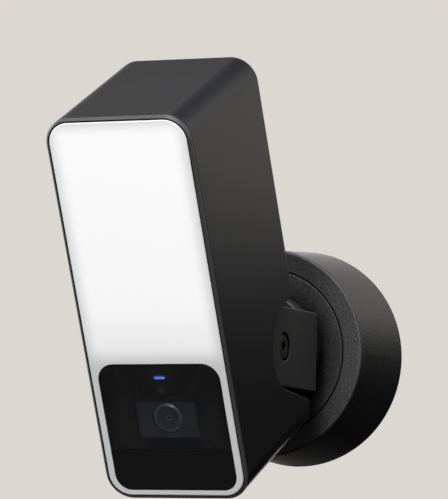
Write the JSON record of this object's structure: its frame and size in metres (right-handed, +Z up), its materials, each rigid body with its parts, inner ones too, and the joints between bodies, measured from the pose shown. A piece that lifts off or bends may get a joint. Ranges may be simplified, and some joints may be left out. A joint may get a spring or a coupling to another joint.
{
  "type": "floodlight security camera",
  "caption": "Wall-held floodlight camera: tall tilting head with an opal light panel and a black camera window, on a turning arm and a round tapered mount.",
  "frame": {"origin": "centre of the wall bracket's back face, on the wall plane", "axes": "+Y into the wall along the mount's axis, +Z up, +X to the right seen from in front of the camera looking at the wall"},
  "size_m": [0.1318, 0.2797, 0.2502],
  "materials": {
    "head_shell": "fine matte black powder coat over aluminium",
    "mount_shell": "fine matte black moulded plastic",
    "arm_metal": "matte black powder coat over die-cast aluminium",
    "inner_metal": "bare aluminium",
    "zinc_steel": "zinc-plated steel",
    "black_steel": "black oxide steel",
    "rubber_black": "matte black rubber",
    "opal": "white opal diffusing plastic, softly satin",
    "dark_glass": "clear panel over a black printed mask, high gloss",
    "motion_black": "black infrared-clear plastic, gloss",
    "black_plastic": "matte black plastic",
    "clear_plastic": "clear light-pipe plastic",
    "optical_glass": "coated lens glass",
    "lens_black": "black anodised aluminium",
    "board_green": "green circuit board",
    "board_white": "white metal-core circuit board",
    "white_reflector": "white reflector plastic",
    "led_yellow": "phosphor-topped LED",
    "chip_black": "black chip package",
    "brass_contact": "nickel-brass terminal",
    "slip_white": "white low-friction plastic",
    "terminal_grey": "grey terminal plastic"
  },
  "bodies": {
    "wall_mount": {"wall_bracket": "zinc_steel", "wall_gasket": "rubber_black", "mount_cover": "mount_shell", "lock_screw": "black_steel", "cable_grommet": "rubber_black", "terminal_block": "terminal_grey", "terminal_screws": "brass_contact", "driver_posts": "zinc_steel", "driver_board": "board_green", "driver_screws": "zinc_steel", "transformer": "chip_black", "driver_capacitors": "chip_black", "slip_washer": "slip_white", "retaining_ring": "zinc_steel", "retainer_screws": "zinc_steel"},
    "arm": {"swivel_disc": "arm_metal", "hinge_arm": "arm_metal", "arm_screws": "zinc_steel", "friction_washers": "slip_white"},
    "head": {"board_chips": "chip_black", "board_screws": "zinc_steel", "camera_carrier": "black_plastic", "diffuser": "opal", "dusk_light_pipe": "clear_plastic", "floodlight_leds": "led_yellow", "front_board": "board_green", "front_glass": "dark_glass", "front_seal": "rubber_black", "front_trim": "head_shell", "glass_mask": "black_plastic", "head_sleeve": "head_shell", "heat_sink": "inner_metal", "hinge_lug": "arm_metal", "hinge_screws": "black_steel", "image_sensor_board": "board_green", "led_board": "board_white", "lens_barrel": "lens_black", "lens_glass": "optical_glass", "lens_holder": "black_plastic", "lens_rear_element": "optical_glass", "light_box": "white_reflector", "lug_screws": "zinc_steel", "main_board": "board_green", "microphone": "zinc_steel", "motion_lens": "motion_black", "motion_sensor": "zinc_steel", "radio_shield": "zinc_steel", "rear_housing": "head_shell", "rear_screws": "black_steel", "speaker": "black_plastic", "status_light_pipe": "clear_plastic"}
  },
  "joints": [
    {"name": "arm_swivel", "type": "hinge", "parent": "wall_mount", "child": "arm", "pos_m": [0, -0.055, 0], "axis": [0, 1, 0], "range_deg": [-90, 90]},
    {"name": "head_tilt", "type": "hinge", "parent": "arm", "child": "head", "pos_m": [0, -0.1266, -0.0012], "axis": [1, 0, 0], "range_deg": [-26.1, 5.9]}
  ]
}
